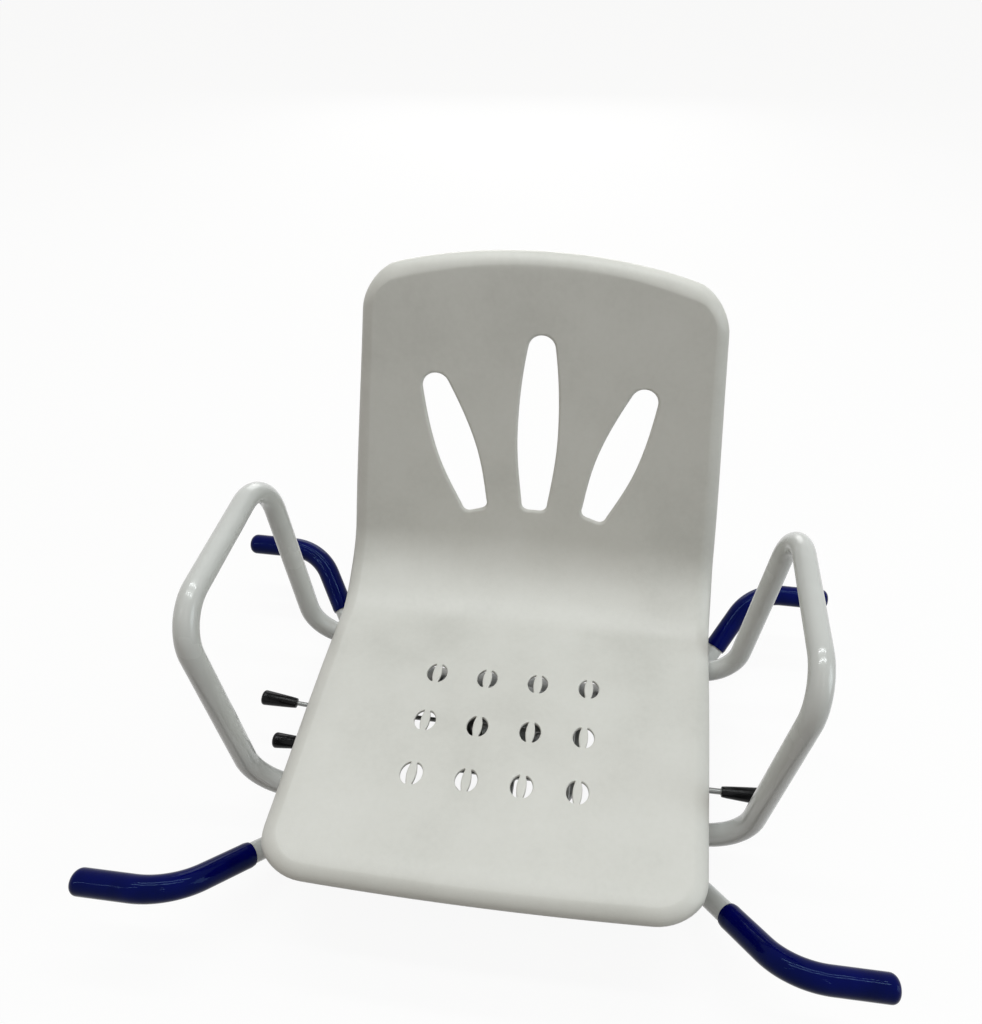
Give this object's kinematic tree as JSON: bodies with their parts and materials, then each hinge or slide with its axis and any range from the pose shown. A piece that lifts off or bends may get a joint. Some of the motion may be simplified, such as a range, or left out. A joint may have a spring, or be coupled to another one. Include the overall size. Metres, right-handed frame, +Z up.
{
  "type": "swivel bath seat",
  "caption": "Moulded seat with a slotted back and tubular armrests, turning on a sleeved frame that hangs between bath rims.",
  "frame": {"origin": "bottom centre of the whole seat's box, under the cross tubes that it rests on", "axes": "+Z up, the sitter faces -Y, +X to the viewer's right seen from the front"},
  "size_m": [0.735, 0.5494, 0.4781],
  "materials": {
    "shell": "moulded warm white plastic, satin",
    "white_paint": "white powder coat, glossy",
    "navy_sleeve": "soft vinyl sleeve, navy, glossy",
    "black_grip": "black dipped plastic, glossy",
    "zinc_steel": "zinc plated, satin",
    "nylon": "natural nylon"
  },
  "bodies": {
    "base": {"base_bolt_front_left": "zinc_steel", "base_bolt_front_right": "zinc_steel", "base_bolt_rear_left": "zinc_steel", "base_bolt_rear_right": "zinc_steel", "base_tube_front": "white_paint", "base_tube_rear": "white_paint", "lower_swivel_plate": "zinc_steel", "sleeve_front_left": "navy_sleeve", "sleeve_front_right": "navy_sleeve", "sleeve_rear_left": "navy_sleeve", "sleeve_rear_right": "navy_sleeve", "slide_ring": "nylon", "pivot_bolt": "zinc_steel", "pivot_washer": "zinc_steel", "pivot_nut": "zinc_steel"},
    "seat": {"armrest_bolt_front_left": "zinc_steel", "armrest_bolt_front_right": "zinc_steel", "armrest_bolt_rear_left": "zinc_steel", "armrest_bolt_rear_right": "zinc_steel", "armrest_left": "white_paint", "armrest_nut_front_left": "zinc_steel", "armrest_nut_front_right": "zinc_steel", "armrest_nut_rear_left": "zinc_steel", "armrest_nut_rear_right": "zinc_steel", "armrest_right": "white_paint", "front_lock_spring": "zinc_steel", "front_pin_bridge": "zinc_steel", "front_pin_guide": "nylon", "lock_bar_ear_left": "zinc_steel", "lock_bar_ear_right": "zinc_steel", "lock_bar_rivet_left": "zinc_steel", "lock_bar_rivet_right": "zinc_steel", "pivot_bush": "nylon", "seat_shell": "shell", "shell_screw_front_left": "zinc_steel", "shell_screw_front_right": "zinc_steel", "shell_screw_rear_left": "zinc_steel", "shell_screw_rear_right": "zinc_steel", "side_lever_fork": "zinc_steel", "side_lever_rivet": "zinc_steel", "side_lock_spring": "zinc_steel", "side_pin_bridge": "zinc_steel", "side_pin_guide": "nylon", "side_rail_left": "white_paint", "side_rail_right": "white_paint", "socket_tube_front": "white_paint", "socket_tube_rear": "white_paint", "upper_swivel_plate": "zinc_steel"},
    "lock_bar": {"lock_bar": "zinc_steel", "lock_bar_grip_left": "black_grip", "lock_bar_grip_right": "black_grip"},
    "front_lock_pin": {"front_lock_pin": "zinc_steel"},
    "side_lever": {"side_lever": "zinc_steel", "side_lever_grip": "black_grip"},
    "side_lock_pin": {"side_lock_pin": "zinc_steel"}
  },
  "joints": [
    {"name": "swivel", "type": "hinge", "parent": "base", "child": "seat", "pos_m": [0, -0.04376, 0.0265], "axis": [0, 0, 1], "continuous": true},
    {"name": "lock_bar_hinge", "type": "hinge", "parent": "seat", "child": "lock_bar", "pos_m": [0, -0.05576, 0.0825], "axis": [-1, 0, 0], "range_deg": [0, 16]},
    {"name": "front_pin_slide", "type": "slide", "parent": "seat", "child": "front_lock_pin", "axis": [0, 0, 1], "range_m": [0, 0.0102], "stiffness_N_per_m": 600, "springref_m": -0.006, "deforming": ["front_lock_spring"]},
    {"name": "side_lever_hinge", "type": "hinge", "parent": "seat", "child": "side_lever", "pos_m": [0.035, -0.04076, 0.0745], "axis": [0, 1, 0], "range_deg": [0, 3.4]},
    {"name": "side_pin_slide", "type": "slide", "parent": "seat", "child": "side_lock_pin", "axis": [0, 0, 1], "range_m": [0, 0.0044], "stiffness_N_per_m": 600, "springref_m": -0.006, "deforming": ["side_lock_spring"]}
  ],
  "couplings": [
    {"joint": "front_pin_slide", "follows": "lock_bar_hinge", "m_per_rad": 0.036},
    {"joint": "side_pin_slide", "follows": "side_lever_hinge", "m_per_rad": 0.073}
  ]
}
